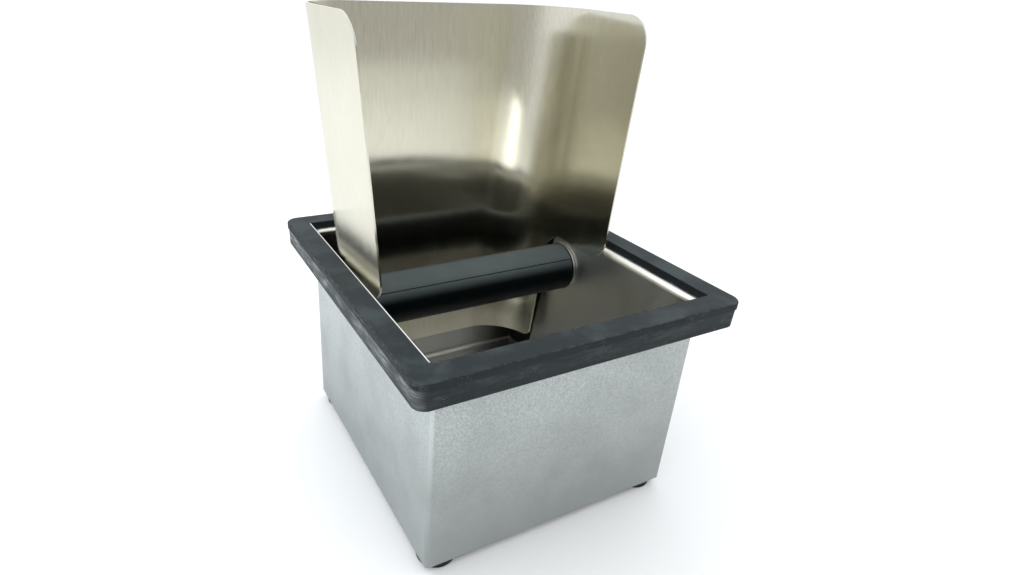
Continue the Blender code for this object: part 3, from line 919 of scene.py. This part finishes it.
def corner_tree():
    """One prototype set at the four corners of a rectangle, each turned its own way."""
    tree, given, out = node_tree("four_corners", [
        ("Prototype", "piece"), ("Spacing X", "value"), ("Spacing Y", "value"),
        ("Finish", "finish"),
    ])
    values = given.outputs
    grid = tree.nodes.new("GeometryNodeMeshGrid")
    grid.inputs["Vertices X"].default_value = 2
    grid.inputs["Vertices Y"].default_value = 2
    feed(tree, values["Spacing X"], grid.inputs["Size X"])
    feed(tree, values["Spacing Y"], grid.inputs["Size Y"])
    shape = tree.nodes.new("GeometryNodeObjectInfo")
    feed(tree, values["Prototype"], shape.inputs["Object"])
    spin = tree.nodes.new("FunctionNodeRandomValue")
    spin.data_type = "FLOAT_VECTOR"
    spin.inputs["Min"].default_value = (0.0, 0.0, 0.0)
    spin.inputs["Max"].default_value = (0.0, 0.0, math.pi)
    spin.inputs["Seed"].default_value = 4
    on_points = tree.nodes.new("GeometryNodeInstanceOnPoints")
    tree.links.new(grid.outputs["Mesh"], on_points.inputs["Points"])
    tree.links.new(shape.outputs["Geometry"], on_points.inputs["Instance"])
    tree.links.new(spin.outputs["Value"], on_points.inputs["Rotation"])
    end_tree(tree, on_points.outputs["Instances"], values["Finish"], out)
    return tree


def bar_sleeve():
    """The split rubber sleeve that turns on the bar."""
    sleeve = grown("rubber_sleeve", sleeve_tree(), {
        "Length": sleeve_high.x - sleeve_low.x,
        "Outer Radius": SLEEVE_RADIUS,
        "Bore Radius": SLEEVE_BORE,
        "Slit Width": SLEEVE_SLIT,
        "Slit Angle": math.radians(SLEEVE_SLIT_ANGLE),
        "Edge Radius": SLEEVE_EDGE,
        "Centre": BAR_AXIS,
        "Finish": SLEEVE_RUBBER,
    })
    return finished(sleeve, SLEEVE_RUBBER, "sleeve", "sleeve_rubber", "bar_sleeve")


def foot_profile():
    """Turned rubber foot with a counterbore under it for the screw's head."""
    low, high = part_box("foot_front_left")
    radius = (high.x - low.x) / 2
    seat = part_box("foot_screw_front_left")[0].z + SCREW_HEAD_HEIGHT + GAP
    foot = [(FOOT_BORE, seat), (FOOT_COUNTERBORE, seat)]
    foot += arc((FOOT_COUNTERBORE + GAP, low.z + GAP), GAP, 180, 270, 3)
    foot += arc((radius - FOOT_LIP, low.z + FOOT_LIP), FOOT_LIP, 270, 360, EDGE_STEPS)
    return foot + [(radius, high.z), (FOOT_BORE, high.z)]


def screw_profile():
    """Pan-head screw, with ridges for its thread."""
    low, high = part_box("foot_screw_front_left")
    head = (high.x - low.x) / 2
    brim = (head - SCREW_EDGE, low.z + SCREW_EDGE)
    neck = low.z + SCREW_HEAD_HEIGHT
    recess = low.z + 0.6 * SCREW_HEAD_HEIGHT
    screw = [(0.0, recess), (SCREW_RECESS, recess), (SCREW_RECESS, low.z)]
    screw += arc(brim, SCREW_EDGE, 270, 360, SMALL_EDGE_STEPS)
    screw += [(head, neck), (SCREW_RADIUS, neck)]
    start, end = neck + MM, high.z - SCREW_POINT
    for turn in range(int((end - start) / THREAD_PITCH)):
        root = start + turn * THREAD_PITCH
        screw += [(SCREW_RADIUS - THREAD_DEPTH, root), (SCREW_RADIUS, root + THREAD_PITCH / 2)]
    return screw + [(SCREW_RADIUS, end), (SCREW_RADIUS - SCREW_POINT, high.z), (0.0, high.z)]


def washer_profile():
    """Flat washer with its outer edges broken."""
    low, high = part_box("foot_washer_front_left")
    radius = (high.x - low.x) / 2
    brim = radius - WASHER_EDGE
    ring = [(FOOT_BORE, low.z), (brim, low.z), (radius, low.z + WASHER_EDGE)]
    return ring + [(radius, high.z - WASHER_EDGE), (brim, high.z), (FOOT_BORE, high.z)]


def hexagon_nut():
    """A hexagon with its corners turned off top and bottom."""
    low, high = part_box("foot_nut_front_left")
    corner = (high.x - low.x) / 2
    flat = corner * math.cos(math.pi / 6)
    loops = []
    for step in range(ROUND_STEPS):
        angle = 2 * math.pi * step / ROUND_STEPS
        reach = flat / math.cos((angle + math.pi / 6) % (math.pi / 3) - math.pi / 6)
        top = min(reach, flat)
        crown = NUT_CROWN if reach > flat else 0.0
        ring = [(FOOT_BORE, low.z), (top, low.z), (reach, low.z + crown)]
        ring += [(reach, high.z - crown), (top, high.z), (FOOT_BORE, high.z)]
        loops.append([(r * math.cos(angle), r * math.sin(angle), z) for r, z in ring])
    return skin(loops, closed=True)


def foot_hardware():
    """Four feet, each with its screw, washer and nut."""
    corners = corner_tree()
    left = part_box("foot_front_left")
    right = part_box("foot_rear_right")
    spacing = (right[1] + right[0] - left[1] - left[0]) / 2
    kinds = (
        ("foot", turned(foot_profile()), "rubber_feet", FOOT_RUBBER, "foot_rubber"),
        ("foot_screw", turned(screw_profile(), HOLE_STEPS), "foot_screws", ZINC, "zinc_steel"),
        ("foot_washer", turned(washer_profile(), WASHER_STEPS), "foot_washers", ZINC, "zinc_steel"),
        ("foot_nut", hexagon_nut(), "foot_nuts", ZINC, "zinc_steel"),
    )
    for node, shape, name, finish, slot in kinds:
        prototype = raw_piece(f"{name}_prototype", shape)
        piece = grown(name, corners, {
            "Prototype": prototype,
            "Spacing X": spacing.x,
            "Spacing Y": spacing.y,
            "Finish": finish,
        })
        bpy.data.objects.remove(prototype)
        finished(piece, finish, "case", slot, *(f"{node}_{corner}" for corner in FEET))


def shield_plan(z, inward):
    """The bent sheet's line at one height, from its right front end round to its left one."""
    toe = math.radians(SHIELD_TOE_IN)
    bend = SHIELD_BEND - inward
    back = LINER_HALF_Y - SHIELD_BACK_CLEARANCE - inward
    back += (z - FLANGE_TOP) * math.tan(math.radians(SHIELD_LEAN))
    heel_x = LINER_HALF_X - SHIELD_SIDE_CLEARANCE - SHIELD_BEND
    heel_x += (z - FLANGE_TOP) * math.tan(math.radians(SHIELD_FLARE))
    turn = arc((heel_x, back - bend), bend, -SHIELD_TOE_IN, 90.0, BEND_STEPS)
    ahead = BAR_AXIS.y - SHIELD_REACH - SHIELD_TOP_CORNER
    front_x = turn[0][0] - (turn[0][1] - ahead) * math.tan(toe)
    side = [(front_x, ahead)] + turn
    return side + [(-x, y) for x, y in reversed(side)]


def shield_side_outline():
    """The shield seen from its side: front edges, lobes ahead of the bar, notch and tail."""
    top, bottom = shield_high.z, shield_low.z
    lean = SHIELD_FRONT_LEAN
    slope = math.tan(math.radians(lean))
    aslant = 1 / math.cos(math.radians(lean))
    lobe_bottom = BAR_AXIS.z + SLEEVE_RADIUS + NOTCH_HEADROOM
    beyond = HALF_Y + (top - rim_high.z)
    lobe, crown, strip = SHIELD_LOBE_CORNER, SHIELD_TOP_CORNER, SHIELD_STRIP_CORNER
    lobe_z, crown_z = lobe_bottom + lobe, top - crown
    front = BAR_AXIS.y - SHIELD_REACH - FLANGE_TOP * slope
    lobe_y = front + lobe_z * slope + lobe * aslant
    crown_y = front + crown_z * slope + crown * aslant
    notch = (TAIL_FRONT - NOTCH_CORNER, lobe_bottom - NOTCH_CORNER)
    outline = arc((crown_y, crown_z), crown, 90, 180 - lean, BEND_STEPS)
    outline += arc((lobe_y, lobe_z), lobe, 180 - lean, 270, BEND_STEPS)
    outline += arc(notch, NOTCH_CORNER, 90, 0, BEND_STEPS)
    outline += arc((TAIL_FRONT + strip, bottom + strip), strip, 180, 270, EDGE_STEPS)
    return outline + [(beyond, bottom), (beyond, top)]


def splash_shield():
    """One bent sheet, cut to its side outline, with its cut edges eased."""
    spare = SHIELD_TOP_CORNER
    loops = []
    for z in (shield_low.z - spare, shield_high.z + spare):
        line = shield_plan(z, 0.0) + list(reversed(shield_plan(z, SHIELD_THICKNESS)))
        loops.append([(x, y, z) for x, y in line])
    shield = raw_piece("bent_splash_shield", skin(loops))
    outline = shield_side_outline()
    half = HALF_X + spare
    loops = [[(x, y, z) for y, z in outline] for x in (-half, half)]
    cutter = raw_piece("shield_outline", skin(loops))
    trim = shield.modifiers.new("outline", "BOOLEAN")
    trim.operation = "INTERSECT"
    trim.object = cutter
    settle(bevelled(shield, SHIELD_CUT_EDGE))
    bpy.data.objects.remove(cutter)
    return finished(shield, SHIELD_STEEL, "shield", "shield_steel", "splash_shield")


# ---------------------------------------------------------------- studio

CAMERA_PLACE = (-0.17595, -0.27568, 0.26689)
CAMERA_TURNS = (63.8349, -2.6170, -27.5685)  # degrees about X, Y and Z
CAMERA_SHIFT = (0.0587, -0.0039)             # shares of the frame's width
CAMERA_LENS = 22.515                         # focal length and film width in millimetres
CAMERA_FILM = 36.0
TABLE_HALF = 3.0
TABLE_GAP = 0.05 * MM                        # under the feet
BOX_MIDDLE = (0.0, 0.0, 0.1)
SHIELD_RIGHT_BEND = (0.057, 0.073, 0.175)


def camera():
    """The view from above the box's front left corner."""
    data = bpy.data.cameras.new("camera")
    data.sensor_width = CAMERA_FILM
    data.lens = CAMERA_LENS
    data.shift_x, data.shift_y = CAMERA_SHIFT
    data.clip_start = 0.01
    made = bpy.data.objects.new("camera", data)
    made.location = CAMERA_PLACE
    made.rotation_euler = [math.radians(turn) for turn in CAMERA_TURNS]
    bpy.context.scene.collection.objects.link(made)
    bpy.context.scene.camera = made


def soft_light(name, at, target, size, power, colour):
    """A square soft box at a point, facing another point."""
    data = bpy.data.lights.new(name, "AREA")
    data.size = size
    data.energy = power
    data.color = colour
    made = bpy.data.objects.new(name, data)
    made.location = at
    aim = Vector(target) - Vector(at)
    made.rotation_euler = aim.to_track_quat("-Z", "Y").to_euler()
    bpy.context.scene.collection.objects.link(made)


def floor():
    """Plain pale table top, dimmer far in front of the box."""
    low = cad_box[0].z - TABLE_GAP
    work = bmesh.new()
    corners = ((-1, -1), (1, -1), (1, 1), (-1, 1))
    work.faces.new([work.verts.new((x * TABLE_HALF, y * TABLE_HALF, low)) for x, y in corners])
    top = raw_piece("table_top", work)
    made = Finish("white_table", 0.6, 0.0)
    fine = made.effect("fine", grain_size=2 * MM, wave_size=400 * MM)
    depth = axes(made.tree, place(made.tree))["Y"]
    far = ramped(made.tree, depth, -1.7, -0.4, 1.0, 0.0, smooth=False)
    pale = made.blend(fine["Wave"], TABLE_WHITE, TABLE_PALE)
    made.colour(made.blend(far, pale, TABLE_FAR))
    top.data.materials.append(made.material)


def surroundings():
    """A white tent with a bright ceiling, dimmer where it opens at the front and to the right."""
    world = bpy.data.worlds.new("white_tent")
    world.use_nodes = True
    bpy.context.scene.world = world
    tree = world.node_tree
    looks = axes(tree, tree.nodes.new("ShaderNodeTexCoord").outputs["Generated"])
    ahead = product(tree, looks["Y"], -1.0)
    sideways = product(tree, looks["X"], 0.45)
    opening = ramped(tree, maths(tree, "ADD", ahead, sideways), 0.0, 0.9)
    walls = blended(tree, opening, TENT_WALLS, TENT_OPENING)
    whole = blended(tree, ramped(tree, looks["Z"], 0.25, 0.85), walls, TENT_CEILING)
    tree.links.new(whole, tree.nodes["Background"].inputs["Color"])


def studio():
    bpy.context.scene.view_settings.view_transform = "Standard"
    surroundings()
    floor()
    soft_light(
        "back_left_soft_box", (-0.80, 0.55, 0.75), BOX_MIDDLE,
        size=0.6, power=3.0, colour=(0.95, 1.0, 1.06),
    )
    soft_light(
        "front_glow", (-0.17, -0.70, 0.03), SHIELD_RIGHT_BEND,
        size=0.26, power=0.42, colour=(1.0, 0.99, 0.96),
    )


camera()
studio()
case_shell()
foot_hardware()
liner_pan()
rubber_rim()
bar_discs()
bar_core()
bar_sleeve()
splash_shield()
